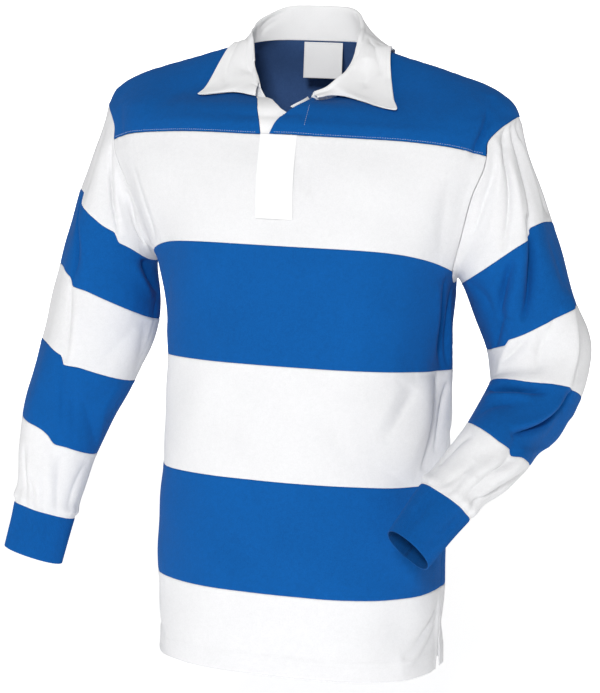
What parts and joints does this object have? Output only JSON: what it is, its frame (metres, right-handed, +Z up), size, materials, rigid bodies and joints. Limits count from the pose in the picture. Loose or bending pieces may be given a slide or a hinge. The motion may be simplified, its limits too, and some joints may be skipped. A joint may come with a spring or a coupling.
{
  "type": "long-sleeved rugby shirt",
  "caption": "Long-sleeved rugby shirt filled out as if worn, with sewn hoops, a folded collar, a short open placket and rib cuffs.",
  "frame": {"origin": "between the high points of the shoulders, where a wearer's shoulders carry the shirt", "axes": "+Z is up, -Y is the way the chest faces, +X is towards the wearer's left"},
  "size_m": [0.6947, 0.3192, 0.7777],
  "materials": {
    "blue_jersey": "matt heavy cotton jersey",
    "white_jersey": "matt heavy cotton jersey",
    "white_twill": "matt cotton twill",
    "blue_rib": "matt cotton rib knit",
    "white_tape": "smooth woven tape"
  },
  "bodies": {
    "root": {"back_yoke": "blue_jersey", "front_yoke_right": "blue_jersey", "front_yoke_left": "blue_jersey", "back_chest": "white_jersey", "front_chest": "white_jersey", "back_hoop_2": "blue_jersey", "front_hoop_2": "blue_jersey", "back_hoop_3": "white_jersey", "front_hoop_3": "white_jersey", "back_hoop_4": "blue_jersey", "front_hoop_4": "blue_jersey", "back_hem_hoop": "white_jersey", "front_hem_hoop": "white_jersey", "right_sleeve_1": "white_jersey", "right_sleeve_2": "blue_jersey", "right_sleeve_3": "white_jersey", "right_sleeve_4": "blue_jersey", "right_sleeve_5": "white_jersey", "right_cuff": "blue_rib", "left_sleeve_1": "white_jersey", "left_sleeve_2": "blue_jersey", "left_sleeve_3": "white_jersey", "left_sleeve_4": "blue_jersey", "left_sleeve_5": "white_jersey", "left_cuff": "blue_rib", "placket_under": "white_twill", "placket_facing": "white_twill", "placket_over": "white_twill", "collar": "white_twill", "neck_label": "white_tape"}
  },
  "joints": []
}
